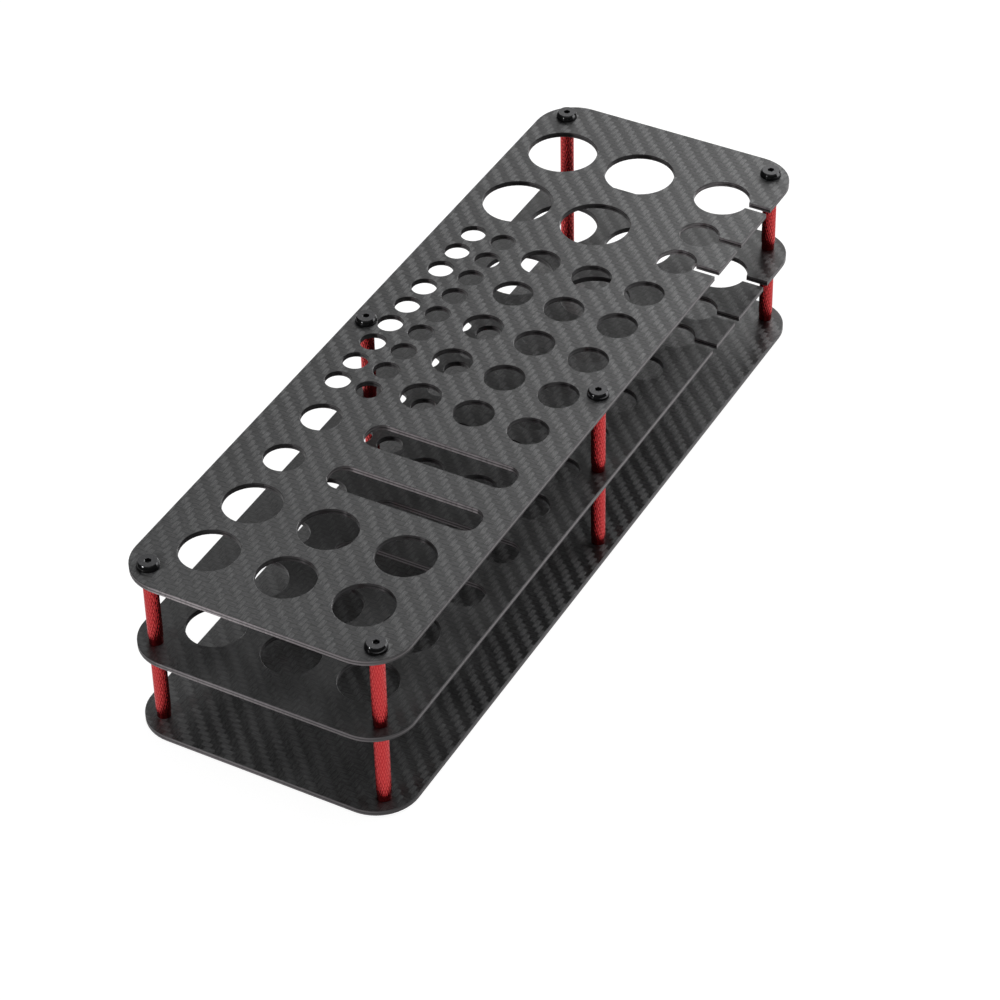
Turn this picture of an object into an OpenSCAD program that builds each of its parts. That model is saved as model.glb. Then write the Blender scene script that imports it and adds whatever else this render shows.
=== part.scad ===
// Three-deck desktop rack for hand tools.
// Two perforated decks hold the tools upright and a solid base deck catches their tips.
// Round knurled posts keep the decks apart. Screws and joining studs hold the posts.
// The rack stands on the screw heads under the base. X is across, Y runs to the back.

/* [Decks] */
// Length of every deck, front to back. The rows of small holes fill what is free
deck_length = 300; // [260:1:340]
// Width of every deck. The columns of holes fill what is free
deck_width = 100; // [90:1:130]
// Thickness of every deck
deck_t = 2; // [1.5:0.25:3]
// Radius of the deck corners, seen from above
corner_r = 15; // [10:1:20]
// Least material left between two groups of holes
least_web = 3; // [2:0.5:4]

/* [Posts] */
// Length of one post, which is the clear height between two decks
post_length = 30; // [26:1:50]
// Diameter over the knurled part of a post
post_d = 5; // [5:0.25:7]
// Diameter of the plain collars at both ends of a post
collar_d = 4.7; // [4.5:0.1:5]
// Length of each plain collar
collar_length = 2.8; // [1.5:0.1:4]
// Distance from the long edge to a corner post's axis
corner_post_side = 8.8; // [7:0.1:10]
// Distance from the short edge to a corner post's axis
corner_post_end = 8.5; // [7:0.1:9.5]
// Distance from the long edge to a middle post's axis
middle_post_side = 5.6; // [5:0.1:6]

/* [Fasteners] */
// Outer diameter of the thread on screws and joining studs
thread_d = 3; // [2.5:0.25:3]
// Gap all round between a thread and the post's tapped bore
thread_gap = 0.03; // [0.02:0.01:0.05]
// Gap all round between a thread and its hole in a deck
deck_gap = 0.2; // [0.1:0.05:0.3]
// Length of thread held inside a post's end
grip_length = 6; // [4:0.5:8]
// Empty thread left in a post beyond the end of its screw or stud
tap_spare = 2; // [1:0.5:3]
// Diameter of the button heads on the top deck
head_d = 7.6; // [6.5:0.1:8]
// Height of the button heads
head_h = 2.2; // [1.8:0.1:2.6]
// Radius of the rounded shoulder of a button head
head_shoulder = 1.3; // [0.8:0.1:1.5]
// Width across flats of the hexagon sockets
socket_flats = 2; // [1.5:0.1:2.2]
// Depth of the hexagon socket in a button head
socket_depth = 1.3; // [0.8:0.1:1.5]
// Diameter of the low heads under the base
base_head_d = 8; // [7:0.1:9]
// Height of the low heads under the base
base_head_h = 0.8; // [0.8:0.1:1.6]
// Depth of the hexagon socket in a low head
base_socket_depth = 1.2; // [0.8:0.1:1.5]

/* [Plier holes] */
// Diameter of the four largest holes
plier_d = 25; // [22:0.5:26]
// Distance from the left edge to the first column
plier_side = 18.1; // [17:0.1:19]
// Distance between columns
plier_pitch_x = 31; // [29:0.5:32]
// Distance from the back edge to the back row
plier_end = 29.5; // [28:0.5:31]
// Distance between the two rows
plier_pitch_y = 34.8; // [33:0.2:36]

/* [Slit holes] */
// Diameter of the large hole that opens to the right edge
slit_big_d = 20; // [18:0.5:21]
// Distance from the right edge to that hole's centre
slit_big_side = 18.1; // [17:0.1:19]
// Diameter of the two smaller holes that open to the right edge
slit_small_d = 14; // [12:0.5:15]
// Distance from the right edge to their centres
slit_small_side = 15.5; // [14.5:0.1:16.5]
// Distance from the back row to the first smaller hole
slit_first_step = 23.7; // [23:0.1:24.5]
// Distance between the two smaller holes
slit_second_step = 18.1; // [17.5:0.1:18.5]
// Width of the slits that lead out to the edge
slit_w = 3.4; // [2:0.1:4]

/* [Bit holes] */
// Diameter of the small holes
bit_d = 9; // [7:0.25:9.5]
// Distance from the left edge to the first column
bit_side = 13.5; // [13:0.1:14]
// Distance between the two columns
bit_pitch_x = 11.9; // [11.5:0.1:12.1]
// Distance between rows
bit_pitch_y = 11.73; // [11:0.01:13]
// Distance from the back edge to the back row
bit_end = 88.7; // [88:0.1:90]

/* [Driver holes] */
// Diameter of the driver holes
driver_d = 14; // [11:0.5:15]
// Distance from the right edge to the right column
driver_side = 17.25; // [16:0.25:18]
// Distance from the right column to the next one
driver_right_gap = 20.35; // [19.5:0.05:20.5]
// Distance between the other columns
driver_pitch_x = 19.8; // [18:0.1:20]
// Distance from the back edge to the back row
driver_end = 93; // [92:0.1:94]
// Distance from the back row to the next one
driver_first_gap = 20.5; // [20:0.1:21]
// Distance between the other rows
driver_pitch_y = 21.4; // [20:0.1:22]

/* [Slots] */
// Distance from the left edge to the slots' left ends
slot_left_side = 36.1; // [34:0.1:40]
// Width of the slots, front to back
slot_w = 11.6; // [9:0.2:12]
// Corner radius of the slots
slot_r = 5; // [2:0.25:5.5]
// Distance from the right edge to the slots' right ends
slot_right_side = 8.7; // [8:0.1:10]
// Distance from the front edge to the front slot
slot_end = 74; // [73:0.25:76]
// Distance between the two slots
slot_pitch = 23.75; // [23:0.25:24.5]
// Distance from the left edge to the round hole beside each slot
slot_hole_side = 18.8; // [18:0.1:20]

/* [Handle holes] */
// Diameter of the six holes at the front
handle_d = 20; // [16:0.5:21]
// Distance between the columns
handle_pitch_x = 28.15; // [27:0.05:29]
// Distance from the front edge to the front row
handle_end = 23.6; // [23:0.1:25]
// Distance between the two rows
handle_pitch_y = 25.95; // [25:0.05:26.5]

/* [Hidden] */
$fn = 96;
eps = 0.01;
deck_z = [for (i = [0:2]) base_head_h + i * (deck_t + post_length)];
post_z = [for (i = [0:1]) deck_z[i] + deck_t];
left_x = -deck_width / 2;
right_x = deck_width / 2;
front_y = -deck_length / 2;
back_y = deck_length / 2;
corner_x = right_x - corner_post_side;
corner_y = back_y - corner_post_end;
middle_x = right_x - middle_post_side;
deck_hole_d = thread_d + 2 * deck_gap;
tap_d = thread_d + 2 * thread_gap;
socket_d = socket_flats / cos(30);
top_z = deck_z[2] + deck_t;
screw_length = deck_t + grip_length;
stud_length = deck_t + 2 * grip_length;
tap_depth = grip_length + tap_spare;

// Post positions: front pair, middle pair, back pair, left one first.
post_xy = [
  [-corner_x, -corner_y],
  [corner_x, -corner_y],
  [-middle_x, 0],
  [middle_x, 0],
  [-corner_x, corner_y],
  [corner_x, corner_y]
];

// Round holes of the rack pattern, each [x, y, diameter].
// The groups at the back are set out from the back edge and those at the front from the
// front edge. Rows and columns between them repeat as long as a web of least_web is left.
plier_y = back_y - plier_end;
plier_free_x = deck_width - plier_side - slit_big_side - (plier_d + slit_big_d) / 2 - least_web;
plier_columns = 1 + max(0, floor(plier_free_x / plier_pitch_x));
plier_holes = [
  for (c = [0:plier_columns - 1], r = [0:1])
    [left_x + plier_side + c * plier_pitch_x, plier_y - r * plier_pitch_y, plier_d]
];
slit_holes = [
  [right_x - slit_big_side, plier_y, slit_big_d],
  [right_x - slit_small_side, plier_y - slit_first_step, slit_small_d],
  [right_x - slit_small_side, plier_y - slit_first_step - slit_second_step, slit_small_d]
];
slot_y = [front_y + slot_end, front_y + slot_end + slot_pitch];
slot_length = deck_width - slot_left_side - slot_right_side;
slot_x = (slot_left_side - slot_right_side) / 2;
slot_side_holes = [for (y = slot_y) [left_x + slot_hole_side, y, driver_d]];
bit_y = back_y - bit_end;
bit_free_y = bit_y - slot_y[1] - (driver_d + bit_d) / 2 - least_web;
bit_rows = 1 + max(0, floor(bit_free_y / bit_pitch_y));
bit_holes = [
  for (c = [0:1], r = [0:bit_rows - 1])
    [left_x + bit_side + c * bit_pitch_x, bit_y - r * bit_pitch_y, bit_d]
];
driver_y = back_y - driver_end;
driver_free_y = driver_y - driver_first_gap - slot_y[1] - (slot_w + driver_d) / 2 - least_web;
driver_rows = 2 + max(0, floor(driver_free_y / driver_pitch_y));
driver_free_x = deck_width - driver_side - driver_right_gap
  - bit_side - bit_pitch_x - (driver_d + bit_d) / 2 - least_web;
driver_columns = 2 + max(0, floor(driver_free_x / driver_pitch_x));
// Distance of row or column n from the first one, when the first gap differs from the rest.
function steps(n, first, pitch) = n == 0 ? 0 : first + (n - 1) * pitch;
driver_holes = [
  for (c = [0:driver_columns - 1], r = [0:driver_rows - 1])
    [
      right_x - driver_side - steps(c, driver_right_gap, driver_pitch_x),
      driver_y - steps(r, driver_first_gap, driver_pitch_y),
      driver_d
    ]
];
handle_holes = [
  for (c = [-1:1], r = [0:1])
    [c * handle_pitch_x, front_y + handle_end + r * handle_pitch_y, handle_d]
];
rack_holes = concat(
  plier_holes, slit_holes, bit_holes, driver_holes, slot_side_holes, handle_holes
);

// A flat rectangle with round corners, centred on the origin.
module round_rectangle(x, y, r) {
  square([x - 2 * r, y], center = true);
  square([x, y - 2 * r], center = true);
  for (sx = [-1, 1], sy = [-1, 1])
    translate([sx * (x / 2 - r), sy * (y / 2 - r)])
      circle(r = r);
}

// A solid deck with one clearance hole for each post.
module deck_blank() {
  difference() {
    linear_extrude(deck_t)
      round_rectangle(deck_width, deck_length, corner_r);
    for (p = post_xy)
      translate([p[0], p[1], -1])
        cylinder(d = deck_hole_d, h = deck_t + 2);
  }
}

// The cuts that hold tools: round holes, slits to the right edge, and two slots.
module rack_cuts() {
  for (h = rack_holes)
    translate([h[0], h[1], -1])
      cylinder(d = h[2], h = deck_t + 2);
  for (h = slit_holes)
    translate([h[0], h[1] - slit_w / 2, -1])
      cube([right_x - h[0] + 1, slit_w, deck_t + 2]);
  for (y = slot_y)
    translate([slot_x, y, -1])
      linear_extrude(deck_t + 2)
        round_rectangle(slot_length, slot_w, slot_r);
}

// A deck with the whole rack pattern.
module rack_deck() {
  difference() {
    deck_blank();
    rack_cuts();
  }
}

module base_deck() {
  color("#303234")
    translate([0, 0, deck_z[0]])
      deck_blank();
}

module middle_deck() {
  color("#3c3e40")
    translate([0, 0, deck_z[1]])
      rack_deck();
}

module top_deck() {
  color("#505254")
    translate([0, 0, deck_z[2]])
      rack_deck();
}

// One post: a knurled barrel between two plain collars, tapped from both ends.
module post(place, level) {
  color("#b32328")
    translate([post_xy[place][0], post_xy[place][1], post_z[level]])
      difference() {
        union() {
          cylinder(d = collar_d, h = post_length);
          translate([0, 0, collar_length])
            cylinder(d = post_d, h = post_length - 2 * collar_length);
        }
        translate([0, 0, -1])
          cylinder(d = tap_d, h = tap_depth + 1);
        translate([0, 0, post_length - tap_depth])
          cylinder(d = tap_d, h = tap_depth + 1);
      }
}

// The threaded stud that joins a lower post to an upper one through the middle deck.
module stud(place) {
  color("#8f9092")
    translate([post_xy[place][0], post_xy[place][1], deck_z[1] - grip_length])
      cylinder(d = thread_d, h = stud_length);
}

// Half section of a button head with a rounded shoulder and a flat top.
module button_section() {
  square([head_d / 2, head_h - head_shoulder]);
  square([head_d / 2 - head_shoulder, head_h]);
  translate([head_d / 2 - head_shoulder, head_h - head_shoulder])
    circle(r = head_shoulder);
}

// A screw with a button head, driven down into an upper post.
module top_screw(place) {
  color("#141416")
    translate([post_xy[place][0], post_xy[place][1], top_z])
      difference() {
        union() {
          rotate_extrude()
            intersection() {
              button_section();
              square([head_d, head_h]);
            }
          translate([0, 0, -screw_length])
            cylinder(d = thread_d, h = screw_length + eps);
        }
        translate([0, 0, head_h - socket_depth])
          cylinder(d = socket_d, h = socket_depth + 1, $fn = 6);
      }
}

// A screw with a low flat head, driven up into a lower post. Its head is a foot.
module base_screw(place) {
  color("#1a1a1c")
    translate([post_xy[place][0], post_xy[place][1], 0])
      difference() {
        union() {
          cylinder(d = base_head_d, h = base_head_h);
          cylinder(d = thread_d, h = base_head_h + screw_length);
        }
        translate([0, 0, -1])
          cylinder(d = socket_d, h = base_socket_depth + 1, $fn = 6);
      }
}

base_deck();
middle_deck();
top_deck();
post(0, 0);  // lower_post_front_left
post(1, 0);  // lower_post_front_right
post(2, 0);  // lower_post_middle_left
post(3, 0);  // lower_post_middle_right
post(4, 0);  // lower_post_back_left
post(5, 0);  // lower_post_back_right
post(0, 1);  // upper_post_front_left
post(1, 1);  // upper_post_front_right
post(2, 1);  // upper_post_middle_left
post(3, 1);  // upper_post_middle_right
post(4, 1);  // upper_post_back_left
post(5, 1);  // upper_post_back_right
stud(0);  // stud_front_left
stud(1);  // stud_front_right
stud(2);  // stud_middle_left
stud(3);  // stud_middle_right
stud(4);  // stud_back_left
stud(5);  // stud_back_right
top_screw(0);  // top_screw_front_left
top_screw(1);  // top_screw_front_right
top_screw(2);  // top_screw_middle_left
top_screw(3);  // top_screw_middle_right
top_screw(4);  // top_screw_back_left
top_screw(5);  // top_screw_back_right
base_screw(0);  // base_screw_front_left
base_screw(1);  // base_screw_front_right
base_screw(2);  // base_screw_middle_left
base_screw(3);  // base_screw_middle_right
base_screw(4);  // base_screw_back_left
base_screw(5);  // base_screw_back_right
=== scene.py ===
"""Looks of a three-deck desktop tool rack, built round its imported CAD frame.

Lengths on the rack are millimetres and are turned into metres where they meet Blender. The places
and sizes of the camera, the lamps and the floor are metres.
"""

import itertools
from math import cos, pi, radians, sin

import bmesh
import bpy
from mathutils import Matrix, Vector


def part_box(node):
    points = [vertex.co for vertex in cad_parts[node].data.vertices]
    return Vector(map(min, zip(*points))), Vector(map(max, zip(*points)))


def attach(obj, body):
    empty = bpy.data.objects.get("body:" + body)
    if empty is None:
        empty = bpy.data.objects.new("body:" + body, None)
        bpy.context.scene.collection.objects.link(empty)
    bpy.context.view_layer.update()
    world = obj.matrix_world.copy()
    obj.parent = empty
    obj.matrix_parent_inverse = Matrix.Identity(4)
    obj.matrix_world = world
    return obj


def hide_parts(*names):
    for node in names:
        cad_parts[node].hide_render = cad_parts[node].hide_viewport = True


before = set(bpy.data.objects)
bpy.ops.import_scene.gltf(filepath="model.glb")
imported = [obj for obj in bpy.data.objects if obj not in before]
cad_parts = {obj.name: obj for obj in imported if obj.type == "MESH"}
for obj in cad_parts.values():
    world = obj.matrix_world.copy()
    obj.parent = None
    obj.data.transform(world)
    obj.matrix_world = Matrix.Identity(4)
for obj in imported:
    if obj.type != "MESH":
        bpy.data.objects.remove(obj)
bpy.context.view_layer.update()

MM = 0.001

# Camera, fitted to the deck edges in the photograph.
CAMERA_PLACE = (0.4581, -0.8081, 0.7801)
CAMERA_AIM = (0.0024, 0.0069, 0.0)
CAMERA_ROLL = radians(-1.24)
LENS_MM = 125.5
SENSOR_MM = 36.0

# Decks.
RIM_CHAMFER = 0.12
# Vertices closer than this, in metres, are one.
WELD = 1e-6
# A hole whose length and width differ by less than this share is round.
ROUND_TOLERANCE = 0.02
# Tow width in millimetres, and how far the weave is shifted along X and Y, in tows.
WEAVE = {
    "base_deck": (1.94, 1.0, -0.75),
    "middle_deck": (1.90, 1.75, -0.5),
    "top_deck": (1.92, 1.5, -0.1),
}
# Painted light and shade: a factor on each deck's tow colours, and the share that X tows have of the tone
# that runs between them, a painted shade on the X tows.
DECK_PAINTED_LIGHT = {"base_deck": (1.0, 0.86), "middle_deck": (0.78, 0.72), "top_deck": (1.31, 0.69)}
# Painted shade on the straight cut edges: how much of the dark wall tone they take on each deck, those
# that face front or back and those that face left or right.
EDGE_PAINTED_SHADE = {"base_deck": (0.58, 0.78), "middle_deck": (0.42, 0.58), "top_deck": (0.10, 0.62)}

# Posts.
POST_RADIUS = 2.5
COLLAR_RADIUS = 2.35
COLLAR_LENGTH = 2.8
TAP_RADIUS = 1.53
TAP_DEPTH = 8.0
POST_CHAMFER = 0.15
# Diamonds round the barrel, their length and depth, and the share of the way to their corners that
# their raised flat reaches.
KNURLS_ROUND = 18
KNURL_LENGTH = 3.0
KNURL_DEPTH = 0.08
KNURL_FLAT = 0.6

# Screws.
HEAD_RADIUS = 3.8
HEAD_HEIGHT = 2.2
# Radius of the flat on top, the drop of the domed shoulder, and its slope where it leaves the flat.
HEAD_FLAT = 3.1
DOME_DROP = 1.95
DOME_SLOPE = radians(50)
DOME_STEPS = 8
HEAD_RIM = 0.1
SOCKET_FLATS = 2.0
SOCKET_DEPTH = 1.3
SOCKET_RIM = 0.1
# How much deeper the cone left by the drill goes than the socket.
DRILL_POINT = 0.2
THREAD_RADIUS = 1.5
THREAD_CHAMFER = 0.3
GRIP_LENGTH = 6.0
DECK_T = 2.0
FOOT_RADIUS = 4.0
FOOT_HEIGHT = 0.8
FOOT_RIM = 0.2
FOOT_SOCKET_DEPTH = 1.2
TURNED_SEGMENTS = 48

PLACES = [end + "_" + side for end in ("front", "middle", "back") for side in ("left", "right")]


# ---------------------------------------------------------------- shader helpers

class Shader:
    """Adds nodes to one node tree. A value is a number, a tuple or another node's socket."""

    def __init__(self, tree):
        self.tree = tree
        tree.nodes.clear()

    def add(self, kind, **settings):
        node = self.tree.nodes.new(kind)
        for name, value in settings.items():
            setattr(node, name, value)
        return node

    def put(self, socket, value):
        if isinstance(value, bpy.types.NodeSocket):
            self.tree.links.new(value, socket)
        else:
            socket.default_value = value

    def math(self, operation, *values, clamp=False):
        node = self.add("ShaderNodeMath", operation=operation, use_clamp=clamp)
        for socket, value in zip(node.inputs, values):
            self.put(socket, value)
        return node.outputs[0]

    def blend(self, factor, low, high):
        """low where factor is 0, high where it is 1."""
        node = self.add("ShaderNodeMix", data_type="FLOAT")
        for index, value in zip((0, 2, 3), (factor, low, high)):
            self.put(node.inputs[index], value)
        return node.outputs[0]

    def colour(self, factor, low, high):
        node = self.add("ShaderNodeMix", data_type="RGBA")
        for index, value in zip((0, 6, 7), (factor, low, high)):
            self.put(node.inputs[index], value)
        return node.outputs[2]

    def span(self, value, start, end, low=0.0, high=1.0):
        """low up to start, high from end on, and a smooth step between."""
        node = self.add("ShaderNodeMapRange", interpolation_type="SMOOTHSTEP")
        for socket, number in zip(node.inputs, (value, start, end, low, high)):
            self.put(socket, number)
        return node.outputs[0]

    def parts(self, vector):
        node = self.add("ShaderNodeSeparateXYZ")
        self.put(node.inputs[0], vector)
        return node.outputs

    def vector(self, x, y, z):
        node = self.add("ShaderNodeCombineXYZ")
        for socket, value in zip(node.inputs, (x, y, z)):
            self.put(socket, value)
        return node.outputs[0]

    def noise(self, vector, scale, detail=2.0):
        node = self.add("ShaderNodeTexNoise")
        self.put(node.inputs["Vector"], vector)
        node.inputs["Scale"].default_value = scale
        node.inputs["Detail"].default_value = detail
        return node.outputs["Fac"]

    def uneven(self, vector, settings, detail=2.0):
        """Noise from (scale, swing, lowest)."""
        scale, swing, lowest = settings
        return self.math("MULTIPLY_ADD", self.noise(vector, scale, detail), swing, lowest)

    def bump(self, height, strength, distance_mm):
        node = self.add("ShaderNodeBump")
        node.inputs["Strength"].default_value = strength
        node.inputs["Distance"].default_value = distance_mm * MM
        self.put(node.inputs["Height"], height)
        return node.outputs["Normal"]

    def place_mm(self):
        """Object coordinates in millimetres."""
        node = self.add("ShaderNodeVectorMath", operation="SCALE")
        self.put(node.inputs[0], self.add("ShaderNodeTexCoord").outputs["Object"])
        node.inputs["Scale"].default_value = 1.0 / MM
        return node.outputs[0]

    def surface(self, **values):
        """A Principled shader with these sockets, wired to the output."""
        node = self.add("ShaderNodeBsdfPrincipled")
        for name, value in values.items():
            self.put(node.inputs[name.replace("_", " ")], value)
        output = self.add("ShaderNodeOutputMaterial")
        self.tree.links.new(node.outputs[0], output.inputs["Surface"])
        return node


def new_material(name):
    material = bpy.data.materials.new(name)
    material.use_nodes = True
    return material, Shader(material.node_tree)


# ---------------------------------------------------------------- materials

# Darkest and lightest colour of the tows, and the resin in the gaps.
TOW_DARK = (0.034, 0.034, 0.035)
TOW_LIGHT = (0.140, 0.141, 0.142)
RESIN = (0.034, 0.034, 0.035, 1.0)
# Cut edge: fibres that run along the edge, fibres cut across, and how fast one turns to the other.
CUT_ALONG = (0.42, 0.38, 0.395, 1.0)
CUT_ACROSS = (0.145, 0.138, 0.141, 1.0)
CUT_SHARPNESS = 5.0
CUT_ROUGHNESS = 0.42
# A dark wall tone, which the straight cut edges take in part as painted shade, the vertex attribute that
# says how much of it a hole wall has, and how much round holes have.
DARK_WALL_TONE = (0.022, 0.022, 0.023, 1.0)
DARK_WALL_ATTRIBUTE = "dark_wall_share"
ROUND_HOLE = 0.75
# How the light plies vary along a cut edge: noise scale, swing and lowest factor.
PLY_PATCHES = (2.5, 0.7, 0.55)
# The middle ply's span of the deck's thickness, how softly it starts and ends, and how it wavers:
# noise scale, swing and lowest shift.
MIDDLE_PLY = (0.37, 0.62)
PLY_SOFTNESS = 0.03
PLY_WAVER = (1.2, 0.08, -0.04)
# Over this span of the normal's Z, a face turns into a cut edge.
EDGE_NORMAL = (0.8, 0.6)
# The weave wanders by up to part of a tow: noise scale, swing and lowest shift in tows.
WOBBLE = (0.11, 0.5, -0.25)
# Height of a float: the higher the crown's power, the flatter across its tow, and the lower the
# swell's, the flatter along it.
CROWN_POWER = 4.0
SWELL_POWER = 0.5
# Below this height, the resin shows.
GAP_HEIGHT = 0.25
# Noise scales of the fibre streaks, per millimetre, the span of the noise that is used, and how far
# apart in the noise two rows of tows lie.
STREAKS_ACROSS = 2.8
STREAKS_ALONG = 0.4
STREAKS_SPAN = (0.1, 0.9)
STREAKS_APART = 7.0
# Painted shade and highlight on the floats, lighter on the crown and darker where a float dives: the
# factor on the tone by the height of a float, swing and lowest value.
CRIMP_PAINTED_SHADE = (0.4, 0.66)
# Large patches of lighter and darker tone: noise scale, swing, lowest factor.
TONE_PATCHES = (0.05, 0.6, 0.9)
TOW_ROUGHNESS = 0.6
WEAVE_BUMP = 0.7
WEAVE_DEPTH = 0.05
COAT_ON_FACES = 0.9
COAT_ON_EDGES = 0.2
COAT_ROUGHNESS = 0.33
COAT_IOR = 1.5


def twill(shader, place, weave):
    """A 2x2 twill: whether an X tow is on top, the place along its float and across it, and which
    column and row of tows it is."""
    tow, shift_x, shift_y = weave
    x, y, _ = shader.parts(place)
    wobble = shader.uneven(place, WOBBLE)
    columns = shader.math("ADD", shader.math("MULTIPLY_ADD", x, 1.0 / tow, shift_x), wobble)
    rows = shader.math("ADD", shader.math("MULTIPLY_ADD", y, 1.0 / tow, shift_y), wobble)
    column = shader.math("FLOOR", columns)
    row = shader.math("FLOOR", rows)
    in_column = shader.math("SUBTRACT", columns, column)
    in_row = shader.math("SUBTRACT", rows, row)
    step = shader.math("FLOORED_MODULO", shader.math("ADD", column, row), 4.0)
    along_x = shader.math("LESS_THAN", step, 1.5)
    x_float = shader.math("MULTIPLY", shader.math("ADD", step, in_column), 0.5)
    y_float = shader.math("MULTIPLY", shader.math("ADD", step, shader.math("SUBTRACT", in_row, 2.0)), 0.5)
    along = shader.blend(along_x, y_float, x_float)
    across = shader.blend(along_x, in_column, in_row)
    return along_x, along, across, column, row


def carbon(name, node):
    """Clear-coated carbon fibre twill, with its plies showing on the cut edges."""
    low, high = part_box(node)
    material, shader = new_material(name)
    place = shader.place_mm()
    x, y, z = shader.parts(place)
    along_x, along, across, column, row = twill(shader, place, WEAVE[node])
    centred = shader.math("ABSOLUTE", shader.math("MULTIPLY_ADD", across, 2.0, -1.0))
    crown = shader.math("SUBTRACT", 1.0, shader.math("POWER", centred, CROWN_POWER))
    swell = shader.math("SINE", shader.math("MULTIPLY", along, pi))
    height = shader.math("MULTIPLY", shader.math("POWER", swell, SWELL_POWER), crown)

    # Fine fibre streaks run along each tow.
    streak_place = shader.vector(
        shader.math("MULTIPLY", x, shader.blend(along_x, STREAKS_ACROSS, STREAKS_ALONG)),
        shader.math("MULTIPLY", y, shader.blend(along_x, STREAKS_ALONG, STREAKS_ACROSS)),
        shader.math("ADD", column, shader.math("MULTIPLY", row, STREAKS_APART)),
    )
    streaks = shader.span(shader.noise(streak_place, 1.0, 3.0), *STREAKS_SPAN)
    # Painted shade and highlight: each float is lighter on its crown and darker at its ends, on top of
    # the fibre streaks.
    tone = shader.math("MULTIPLY", streaks, shader.math("MULTIPLY_ADD", height, *CRIMP_PAINTED_SHADE))
    tone = shader.math("MULTIPLY", tone, shader.uneven(place, TONE_PATCHES, 1.0), clamp=True)
    # Painted light: each deck's tows are lighter or darker, and its X tows darker than its Y tows, for
    # how the light falls on them.
    deck_light, x_tow_shade = DECK_PAINTED_LIGHT[node]
    tone = shader.math("MULTIPLY", tone, shader.blend(along_x, 1.0, x_tow_shade))
    dark, light = ([part * deck_light for part in colour] + [1.0] for colour in (TOW_DARK, TOW_LIGHT))
    tows = shader.colour(tone, dark, light)
    gap = shader.span(height, 0.0, GAP_HEIGHT)
    faces = shader.colour(gap, RESIN, tows)

    # On the cut edges, plies with fibres along the edge are light and plies cut across are dark.
    normal_x, normal_y, normal_z = shader.parts(shader.add("ShaderNodeNewGeometry").outputs["Normal"])
    thickness = (high.z - low.z) / MM
    level = shader.math("MULTIPLY", shader.math("SUBTRACT", z, low.z / MM), 1.0 / thickness)
    level = shader.math("ADD", level, shader.uneven(place, PLY_WAVER))
    middle = shader.math(
        "MULTIPLY",
        shader.span(level, MIDDLE_PLY[0] - PLY_SOFTNESS, MIDDLE_PLY[0] + PLY_SOFTNESS),
        shader.span(level, MIDDLE_PLY[1] + PLY_SOFTNESS, MIDDLE_PLY[1] - PLY_SOFTNESS),
    )
    front_on = shader.math("POWER", shader.math("ABSOLUTE", normal_y), CUT_SHARPNESS)
    side_on = shader.math("POWER", shader.math("ABSOLUTE", normal_x), CUT_SHARPNESS)
    lying = shader.blend(middle, front_on, side_on)
    lying = shader.math("MULTIPLY", lying, shader.uneven(place, PLY_PATCHES))
    dark_wall_share = shader.add("ShaderNodeAttribute", attribute_name=DARK_WALL_ATTRIBUTE).outputs["Fac"]
    cut = shader.colour(lying, CUT_ACROSS, CUT_ALONG)
    # Painted shade: the cut edges turn darker by deck, and more where they face left or right.
    cut = shader.colour(shader.blend(side_on, *EDGE_PAINTED_SHADE[node]), cut, DARK_WALL_TONE)
    cut = shader.colour(dark_wall_share, cut, DARK_WALL_TONE)
    on_edge = shader.span(shader.math("ABSOLUTE", normal_z), *EDGE_NORMAL)

    # The highlight spreads across the fibres: on the faces by tow, on the cut edges up and down.
    face = shader.math("SUBTRACT", 1.0, on_edge)
    across_y_tow = shader.math("MULTIPLY", face, shader.math("SUBTRACT", 1.0, along_x))
    across_x_tow = shader.math("MULTIPLY", face, along_x)
    shader.surface(
        Base_Color=shader.colour(on_edge, faces, cut),
        Metallic=1.0,
        Roughness=shader.blend(on_edge, TOW_ROUGHNESS, CUT_ROUGHNESS),
        Anisotropic=1.0,
        Tangent=shader.vector(across_y_tow, across_x_tow, on_edge),
        Normal=shader.bump(height, WEAVE_BUMP, WEAVE_DEPTH),
        Coat_Weight=shader.blend(on_edge, COAT_ON_FACES, COAT_ON_EDGES),
        Coat_Roughness=COAT_ROUGHNESS,
        Coat_IOR=COAT_IOR,
    )
    return material


# Vertex attribute that is 1 on the crests of the knurling and 0 in its grooves.
CREST = "crest"
# The span of that attribute over which the painted highlight on the crests sets in, and its swing and
# lowest value by shade.
CREST_HIGHLIGHT_SPAN = (0.55, 1.0)
CREST_HIGHLIGHT_BY_SHADE = (0.8, 0.2)
RED_DARK = (0.36, 0.019, 0.023, 1.0)
RED_LIGHT = (0.53, 0.036, 0.040, 1.0)
RED_CREST_HIGHLIGHT = (0.62, 0.08, 0.076, 1.0)
RED_ROUGHNESS = (0.2, 0.3)
# Black heads: the shoulder, the flat on top, lighter as painted light where it faces up, and the span of
# the normal's Z over which the one turns into the other.
BLACK_SHOULDER = (0.08, 0.08, 0.082, 1.0)
BLACK_FLAT_LIT = (0.11, 0.11, 0.113, 1.0)
FLAT_NORMAL = (0.93, 0.995)
MOTTLE_SPAN = (0.3, 0.7)
BLACK_ROUGHNESS = (0.15, 0.4)
ZINC_DARK = (0.42, 0.42, 0.43, 1.0)
ZINC_LIGHT = (0.6, 0.6, 0.6, 1.0)
ZINC_ROUGHNESS = 0.35
THREAD_PITCH = 0.5
THREAD_BUMP = 0.6
THREAD_DEPTH = 0.1


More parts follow.
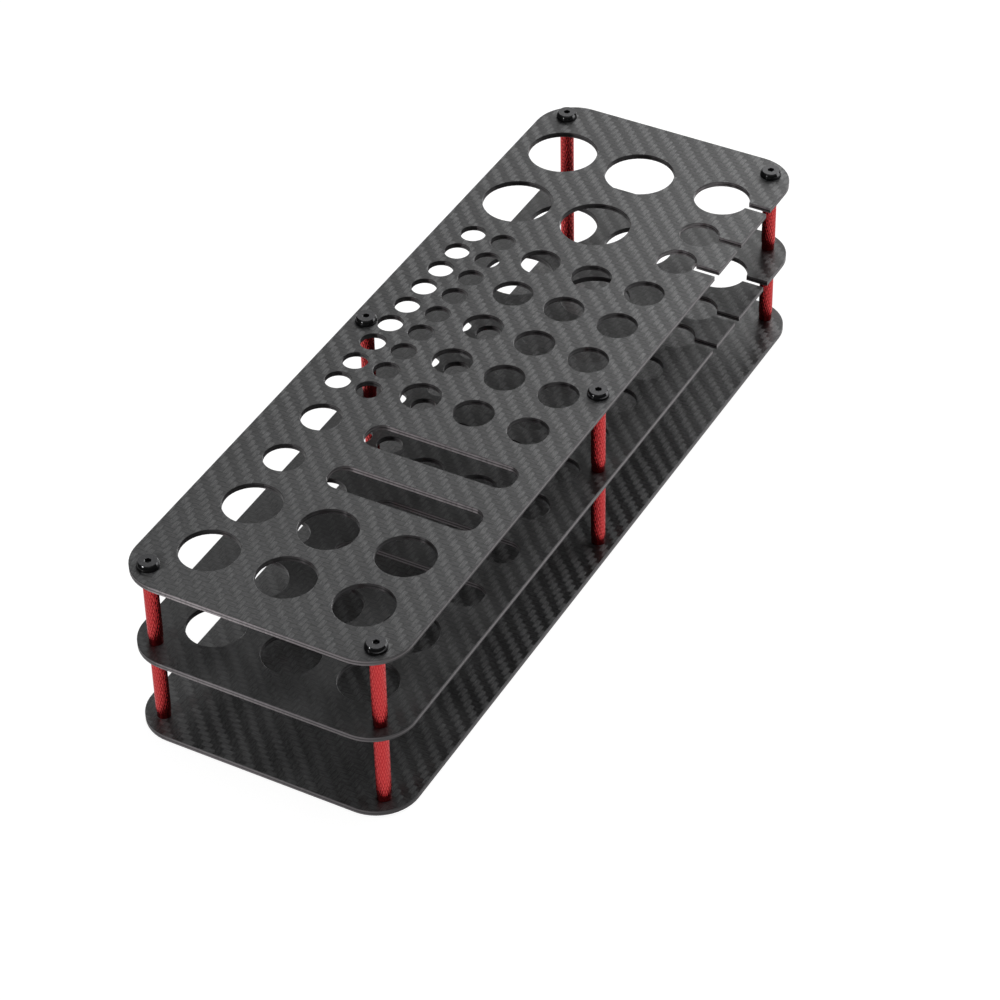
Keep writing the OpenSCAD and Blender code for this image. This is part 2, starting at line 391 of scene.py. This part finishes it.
def red_anodised():
    """Red anodised aluminium, a little uneven, with a painted highlight that makes the crests of the
    knurling paler.
    """
    material, shader = new_material("red_anodised")
    place = shader.place_mm()
    shade = shader.noise(place, 1.5, 3.0)
    red = shader.colour(shade, RED_DARK, RED_LIGHT)
    crest = shader.add("ShaderNodeAttribute", attribute_name=CREST).outputs["Fac"]
    # Painted highlight: the crests of the knurling turn paler, more so where the red is lighter.
    highlight_strength = shader.math("MULTIPLY_ADD", shade, *CREST_HIGHLIGHT_BY_SHADE)
    crest_highlight = shader.math("MULTIPLY", shader.span(crest, *CREST_HIGHLIGHT_SPAN), highlight_strength)
    shader.surface(
        Base_Color=shader.colour(crest_highlight, red, RED_CREST_HIGHLIGHT),
        Metallic=1.0,
        Roughness=shader.blend(shader.noise(place, 4.0), *RED_ROUGHNESS),
    )
    return material


def black_steel():
    """Black oxide screw steel. The flat top of a head is mottled and a little lighter, a painted light
    where it faces up.
    """
    material, shader = new_material("black_steel")
    place = shader.place_mm()
    normal_z = shader.parts(shader.add("ShaderNodeNewGeometry").outputs["Normal"])[2]
    flat = shader.span(normal_z, *FLAT_NORMAL)
    mottle = shader.span(shader.noise(place, 2.0, 3.0), *MOTTLE_SPAN)
    # Painted light: the flat top is lighter where it faces up, in mottled patches.
    lighter = shader.math("MULTIPLY", flat, mottle)
    shader.surface(
        Base_Color=shader.colour(lighter, BLACK_SHOULDER, BLACK_FLAT_LIT),
        Metallic=1.0,
        Roughness=shader.blend(flat, *BLACK_ROUGHNESS),
    )
    return material


def plain_steel():
    """Zinc plated thread of the studs, which the posts and the middle deck hide."""
    material, shader = new_material("plain_steel")
    place = shader.place_mm()
    z = shader.parts(place)[2]
    ridge = shader.math("SINE", shader.math("MULTIPLY", z, 2 * pi / THREAD_PITCH))
    shader.surface(
        Base_Color=shader.colour(shader.noise(place, 2.0), ZINC_DARK, ZINC_LIGHT),
        Metallic=1.0,
        Roughness=ZINC_ROUGHNESS,
        Normal=shader.bump(ridge, THREAD_BUMP, THREAD_DEPTH),
    )
    return material


# ---------------------------------------------------------------- mesh helpers

# Edges that bend by this much or more are sharp.
SHARP = radians(28)


def piece_from(name, mesh, material, node):
    """Turns a bmesh in millimetres into a piece that stands for a CAD node."""
    bmesh.ops.scale(mesh, vec=(MM, MM, MM), verts=mesh.verts)
    bmesh.ops.remove_doubles(mesh, verts=mesh.verts, dist=WELD)
    bmesh.ops.recalc_face_normals(mesh, faces=mesh.faces)
    for face in mesh.faces:
        face.smooth = True
    for edge in mesh.edges:
        edge.smooth = len(edge.link_faces) == 2 and edge.calc_face_angle() < SHARP
    data = bpy.data.meshes.new(name)
    mesh.to_mesh(data)
    mesh.free()
    data.materials.append(material)
    piece = bpy.data.objects.new(name, data)
    bpy.context.scene.collection.objects.link(piece)
    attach(piece, "root")
    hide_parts(node)
    return piece


def bridge(mesh, lower, upper):
    """Quads between two closed rings of as many vertices each."""
    count = len(lower)
    for i in range(count):
        j = (i + 1) % count
        mesh.faces.new((lower[i], lower[j], upper[j], upper[i]))


def turned(mesh, rings, segments, centre):
    """A closed solid through rings of (height, radius, sides). With 6 sides a ring is a hexagon
    whose flats lie at that radius. A radius of 0 closes the solid at a point."""
    previous = None
    for height, radius, sides in rings:
        points = []
        for i in range(segments if radius else 1):
            angle = 2 * pi * i / segments
            reach = radius
            if sides:
                half = pi / sides
                reach = radius / cos((angle % (2 * half)) - half)
            points.append(mesh.verts.new(
                (centre[0] + reach * cos(angle), centre[1] + reach * sin(angle), centre[2] + height)
            ))
        if previous and len(points) == len(previous):
            bridge(mesh, previous, points)
        elif previous:
            tip, ring = (points[0], previous) if len(points) == 1 else (previous[0], points)
            for i in range(segments):
                mesh.faces.new((ring[i], ring[(i + 1) % segments], tip))
        previous = points


def centre_of(node):
    """Plan centre and lowest height of a CAD node, in millimetres."""
    low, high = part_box(node)
    return ((low.x + high.x) / 2 / MM, (low.y + high.y) / 2 / MM, low.z / MM)


# ---------------------------------------------------------------- decks

def outlines(node):
    """A deck's closed plan outlines in millimetres, each with the deck on its left."""
    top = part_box(node)[1].z
    mesh = bmesh.new()
    mesh.from_mesh(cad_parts[node].data)
    bmesh.ops.remove_doubles(mesh, verts=mesh.verts, dist=WELD)
    mesh.normal_update()
    beside = {}
    for edge in mesh.edges:
        flats = [abs(face.normal.z) > 0.9 for face in edge.link_faces]
        if sorted(flats) == [False, True] and all(abs(v.co.z - top) < WELD for v in edge.verts):
            for vertex in edge.verts:
                beside.setdefault(vertex, []).append(edge.other_vert(vertex))
    found = []
    while beside:
        first, neighbours = next(iter(beside.items()))
        loop = [first]
        following = neighbours[0]
        while following is not first:
            loop.append(following)
            following = [v for v in beside[following] if v is not loop[-2]][0]
        for vertex in loop:
            del beside[vertex]
        found.append([(v.co.x / MM, v.co.y / MM) for v in loop])
    mesh.free()
    outer = max(found, key=lambda loop: abs(area(loop)))
    return [loop if (area(loop) > 0) == (loop is outer) else loop[::-1] for loop in found]


def area(loop):
    pairs = zip(loop, loop[1:] + loop[:1])
    return sum(a[0] * b[1] - b[0] * a[1] for a, b in pairs) / 2


def is_round(loop):
    """Whether the loop is a round hole, as long as it is wide."""
    spans = [max(column) - min(column) for column in zip(*loop)]
    return abs(spans[0] - spans[1]) < ROUND_TOLERANCE * spans[0]


def inset(loop, distance):
    """The loop moved sideways into the deck on its left."""
    moved = []
    for i, (x, y) in enumerate(loop):
        before, after = loop[i - 1], loop[(i + 1) % len(loop)]
        a = Vector((before[1] - y, x - before[0])).normalized()
        b = Vector((y - after[1], after[0] - x)).normalized()
        shift = (a + b) * (distance / (1 + a.dot(b)))
        moved.append((x + shift.x, y + shift.y))
    return moved


def deck(node, material):
    """A deck with fine chamfers round its outline and every hole."""
    low, high = (corner.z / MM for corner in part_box(node))
    mesh = bmesh.new()
    rims = {low: [], high: []}
    dark_wall_share = mesh.verts.layers.float.new(DARK_WALL_ATTRIBUTE)
    for loop in outlines(node):
        narrow = inset(loop, RIM_CHAMFER)
        rings = []
        for plan, z in (
            (narrow, low), (loop, low + RIM_CHAMFER), (loop, high - RIM_CHAMFER), (narrow, high)
        ):
            rings.append([mesh.verts.new((x, y, z)) for x, y in plan])
        if is_round(loop):
            for vertex in itertools.chain(*rings[1:3]):
                vertex[dark_wall_share] = ROUND_HOLE
        for lower, upper in zip(rings, rings[1:]):
            bridge(mesh, lower, upper)
        for z, ring in ((low, rings[0]), (high, rings[-1])):
            rims[z] += [mesh.edges.get((ring[i - 1], ring[i])) for i in range(len(ring))]
    for edges in rims.values():
        bmesh.ops.triangle_fill(mesh, use_beauty=True, use_dissolve=False, edges=edges)
    return piece_from("laminate_" + node, mesh, material, node)


# ---------------------------------------------------------------- posts

def knurled_barrel(mesh, centre, bottom, top):
    """Rows of diamonds round the barrel, each raised to a flat. Returns its two end rings."""
    rows = round((top - bottom) / (KNURL_LENGTH / 2))
    step = (top - bottom) / rows
    columns = 2 * KNURLS_ROUND
    root = POST_RADIUS - KNURL_DEPTH
    crest_layer = mesh.verts.layers.float.new(CREST)

    def point(column, row, radius):
        angle = pi * column / KNURLS_ROUND
        z = bottom + row * step
        vertex = mesh.verts.new((centre[0] + radius * cos(angle), centre[1] + radius * sin(angle), z))
        vertex[crest_layer] = float(radius == POST_RADIUS)
        return vertex

    grooves = {}
    for row in range(rows + 1):
        for column in range(columns):
            if (row + column) % 2 == 0:
                grooves[column, row] = point(column, row, root)
    crests = {}
    for row in (0, rows):
        for column in range(columns):
            if (row + column) % 2:
                crests[column, row] = point(column, row, POST_RADIUS)

    for row in range(rows + 1):
        for column in range(columns):
            if (row + column) % 2 == 0:
                continue
            left = grooves[(column - 1) % columns, row]
            right = grooves[(column + 1) % columns, row]
            if row in (0, rows):
                tip = grooves[column, 1 if row == 0 else rows - 1]
                crest = crests[column, row]
                mesh.faces.new((left, crest, tip))
                mesh.faces.new((crest, right, tip))
                continue
            corners = [left, grooves[column, row - 1], right, grooves[column, row + 1]]
            flat = [
                point(column - KNURL_FLAT, row, POST_RADIUS),
                point(column, row - KNURL_FLAT, POST_RADIUS),
                point(column + KNURL_FLAT, row, POST_RADIUS),
                point(column, row + KNURL_FLAT, POST_RADIUS),
            ]
            bridge(mesh, corners, flat)
            mesh.faces.new(flat)
    ends = []
    for row in (0, rows):
        ends.append([grooves.get((c, row)) or crests[c, row] for c in range(columns)])
    return ends


def post(node, material):
    """A knurled barrel between two plain collars, tapped from both ends."""
    centre = centre_of(node)
    low, high = (corner.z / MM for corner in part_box(node))
    mesh = bmesh.new()
    ends = knurled_barrel(mesh, centre, low + COLLAR_LENGTH, high - COLLAR_LENGTH)
    segments = len(ends[0])
    for ring, end, inwards in ((ends[0], low, 1), (ends[1], high, -1)):
        previous = ring
        for radius, depth in (
            (COLLAR_RADIUS, COLLAR_LENGTH), (COLLAR_RADIUS, POST_CHAMFER),
            (COLLAR_RADIUS - POST_CHAMFER, 0.0), (TAP_RADIUS + POST_CHAMFER, 0.0),
            (TAP_RADIUS, POST_CHAMFER), (TAP_RADIUS, TAP_DEPTH),
        ):
            current = [
                mesh.verts.new((
                    centre[0] + radius * cos(2 * pi * i / segments),
                    centre[1] + radius * sin(2 * pi * i / segments),
                    end + inwards * depth,
                ))
                for i in range(segments)
            ]
            bridge(mesh, previous, current)
            previous = current
        mesh.faces.new(previous)
    return piece_from("knurled_" + node, mesh, material, node)


# ---------------------------------------------------------------- screws

def top_screw(node, material):
    """A button-head screw with a rounded shoulder and a hexagon socket."""
    x, y, lowest = centre_of(node)
    seat = lowest + DECK_T + GRIP_LENGTH
    end = -DECK_T - GRIP_LENGTH
    rings = [(end, 0.0, 0), (end, THREAD_RADIUS - THREAD_CHAMFER, 0)]
    rings += [(end + THREAD_CHAMFER, THREAD_RADIUS, 0), (0.0, THREAD_RADIUS, 0)]
    rings += [(0.0, HEAD_RADIUS - HEAD_RIM, 0), (HEAD_RIM, HEAD_RADIUS, 0)]
    for i in range(DOME_STEPS + 1):
        turn = pi / 2 + (DOME_SLOPE - pi / 2) * i / DOME_STEPS
        out = (1 - sin(turn)) / (1 - sin(DOME_SLOPE))
        down = 1 - cos(turn) / cos(DOME_SLOPE)
        rings.append((HEAD_HEIGHT - DOME_DROP * down, HEAD_RADIUS + (HEAD_FLAT - HEAD_RADIUS) * out, 0))
    half = SOCKET_FLATS / 2
    rings += [(HEAD_HEIGHT, half + SOCKET_RIM, 6), (HEAD_HEIGHT - SOCKET_RIM, half, 6)]
    rings += [(HEAD_HEIGHT - SOCKET_DEPTH, half, 6)]
    rings += [(HEAD_HEIGHT - SOCKET_DEPTH - DRILL_POINT, 0.0, 0)]
    mesh = bmesh.new()
    turned(mesh, rings, TURNED_SEGMENTS, (x, y, seat))
    return piece_from("button_" + node, mesh, material, node)


def base_screw(node, material):
    """A low flat-headed screw, seen from below. Its head is a foot."""
    x, y, lowest = centre_of(node)
    half = SOCKET_FLATS / 2
    end = FOOT_HEIGHT + DECK_T + GRIP_LENGTH
    rings = [(FOOT_SOCKET_DEPTH + DRILL_POINT, 0.0, 0), (FOOT_SOCKET_DEPTH, half, 6)]
    rings += [(SOCKET_RIM, half, 6), (0.0, half + SOCKET_RIM, 6)]
    rings += [(0.0, FOOT_RADIUS - FOOT_RIM, 0), (FOOT_RIM, FOOT_RADIUS, 0)]
    rings += [(FOOT_HEIGHT, FOOT_RADIUS, 0), (FOOT_HEIGHT, THREAD_RADIUS, 0)]
    rings += [(end - THREAD_CHAMFER, THREAD_RADIUS, 0)]
    rings += [(end, THREAD_RADIUS - THREAD_CHAMFER, 0), (end, 0.0, 0)]
    mesh = bmesh.new()
    turned(mesh, rings, TURNED_SEGMENTS, (x, y, lowest))
    return piece_from("foot_" + node, mesh, material, node)


# ---------------------------------------------------------------- stage

FLOOR_SIZE = 12.0
FLOOR_GLOW = 1.3
PAPER = (0.9, 0.9, 0.9, 1.0)
WHITE = (1.0, 1.0, 1.0, 1.0)
# Share of the floor's look that its lit paper has, seen by the camera and in reflections.
SHADOW_SHARE = 0.3
MIRRORED_SHADOW_SHARE = 0.45
# In reflections the floor is lit round this place, and darkens to the walls over this reach.
FLOOR_LIT = (0.12, 0.0, 0.0)
FLOOR_FADE = (0.16, 0.55)


def add_floor():
    """A wide white floor. It glows white to the camera and still keeps part of the shadow."""
    half = FLOOR_SIZE / 2
    data = bpy.data.meshes.new("floor")
    corners = [(-half, -half, 0.0), (half, -half, 0.0), (half, half, 0.0), (-half, half, 0.0)]
    data.from_pydata(corners, [], [(0, 1, 2, 3)])
    floor = bpy.data.objects.new("floor", data)
    bpy.context.scene.collection.objects.link(floor)
    material, shader = new_material("floor")
    rays = shader.add("ShaderNodeLightPath").outputs
    mirrored = shader.math("MAXIMUM", rays["Is Glossy Ray"], rays["Is Transmission Ray"])
    reach = shader.add("ShaderNodeVectorMath", operation="DISTANCE")
    shader.put(reach.inputs[0], shader.add("ShaderNodeTexCoord").outputs["Object"])
    reach.inputs[1].default_value = FLOOR_LIT
    far = shader.span(reach.outputs["Value"], *FLOOR_FADE)
    strength = shader.blend(shader.math("MULTIPLY", mirrored, far), FLOOR_GLOW, WALL_STRENGTH)
    glow = shader.add("ShaderNodeEmission")
    shader.put(glow.inputs["Strength"], strength)
    paper = shader.add("ShaderNodeBsdfDiffuse")
    paper.inputs["Color"].default_value = PAPER
    seen = shader.math("MULTIPLY", rays["Is Camera Ray"], 1.0 - SHADOW_SHARE)
    shown = shader.math("MULTIPLY", mirrored, shader.blend(far, 1.0 - MIRRORED_SHADOW_SHARE, 1.0))
    mix = shader.add("ShaderNodeMixShader")
    shader.put(mix.inputs[0], shader.math("MAXIMUM", shown, seen))
    shader.put(mix.inputs[1], paper.outputs[0])
    shader.put(mix.inputs[2], glow.outputs[0])
    shader.put(shader.add("ShaderNodeOutputMaterial").inputs["Surface"], mix.outputs[0])
    data.materials.append(material)


# The studio: dim walls, a lighter ceiling, and soft glows behind the rack, each with its direction
# and its strength. A glow fades to nothing where the cosine with its direction falls to GLOW_EDGE.
WALL_STRENGTH = 0.056
CEILING_STRENGTH = 0.52
# The height, as the Z of a direction, over which the walls turn into the ceiling.
CEILING_RISE = (0.3, 0.85)
GLOWS = (((0.03, 0.98, 0.21), 5.6), ((-0.02, 0.79, 0.62), 1.1))
GLOW_EDGE = 0.86


def add_studio():
    """A world that is white to the camera and a soft studio to the object."""
    world = bpy.data.worlds.new("studio")
    world.use_nodes = True
    bpy.context.scene.world = world
    shader = Shader(world.node_tree)
    towards = shader.add("ShaderNodeTexCoord").outputs["Generated"]
    light = shader.span(shader.parts(towards)[2], *CEILING_RISE, WALL_STRENGTH, CEILING_STRENGTH)
    for direction, strength in GLOWS:
        dot = shader.add("ShaderNodeVectorMath", operation="DOT_PRODUCT")
        shader.put(dot.inputs[0], towards)
        dot.inputs[1].default_value = Vector(direction).normalized()
        glow = shader.span(dot.outputs["Value"], GLOW_EDGE, 1.0, 0.0, strength)
        light = shader.math("ADD", light, glow)
    camera_ray = shader.add("ShaderNodeLightPath").outputs["Is Camera Ray"]
    background = shader.add("ShaderNodeBackground")
    background.inputs["Color"].default_value = WHITE
    shader.put(background.inputs["Strength"], shader.blend(camera_ray, light, 1.0))
    shader.put(shader.add("ShaderNodeOutputWorld").inputs["Surface"], background.outputs[0])


# Each lamp's name, place, width, and the radiance from which its power is worked out.
LAMPS = (
    ("key_lamp", (-0.134, -0.352, 0.157), 0.04, 17.0),
    ("back_softbox", (0.388, 0.303, 0.117), 0.28, 2.0),
)
LAMP_AIM = Vector((0.0, 0.0, 0.03))


def add_lamp(name, place, size, radiance):
    """A square lamp aimed at the rack."""
    data = bpy.data.lights.new(name, "AREA")
    data.size = size
    data.energy = radiance * pi * size * size
    lamp = bpy.data.objects.new(name, data)
    aim = LAMP_AIM - Vector(place)
    lamp.matrix_world = Matrix.Translation(place) @ aim.to_track_quat("-Z", "Y").to_matrix().to_4x4()
    lamp.visible_camera = False
    bpy.context.scene.collection.objects.link(lamp)


def add_camera():
    data = bpy.data.cameras.new("camera")
    data.lens = LENS_MM
    data.sensor_width = SENSOR_MM
    camera = bpy.data.objects.new("camera", data)
    aim = Vector(CAMERA_AIM) - Vector(CAMERA_PLACE)
    turn = aim.to_track_quat("-Z", "Y").to_matrix().to_4x4()
    camera.matrix_world = Matrix.Translation(CAMERA_PLACE) @ turn @ Matrix.Rotation(CAMERA_ROLL, 4, "Z")
    bpy.context.scene.collection.objects.link(camera)
    bpy.context.scene.camera = camera


# ---------------------------------------------------------------- the scene

add_camera()
add_studio()
add_floor()
for lamp_settings in LAMPS:
    add_lamp(*lamp_settings)

for level in ("base", "middle", "top"):
    node = level + "_deck"
    slot = level + "_carbon"
    deck(node, carbon(slot, node))

red = red_anodised()
black = black_steel()
steel = plain_steel()
for where in PLACES:
    post("lower_post_" + where, red)
    post("upper_post_" + where, red)
    top_screw("top_screw_" + where, black)
    base_screw("base_screw_" + where, black)
    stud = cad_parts["stud_" + where].data
    stud.materials.clear()
    stud.materials.append(steel)

bpy.context.scene.view_settings.view_transform = "Standard"
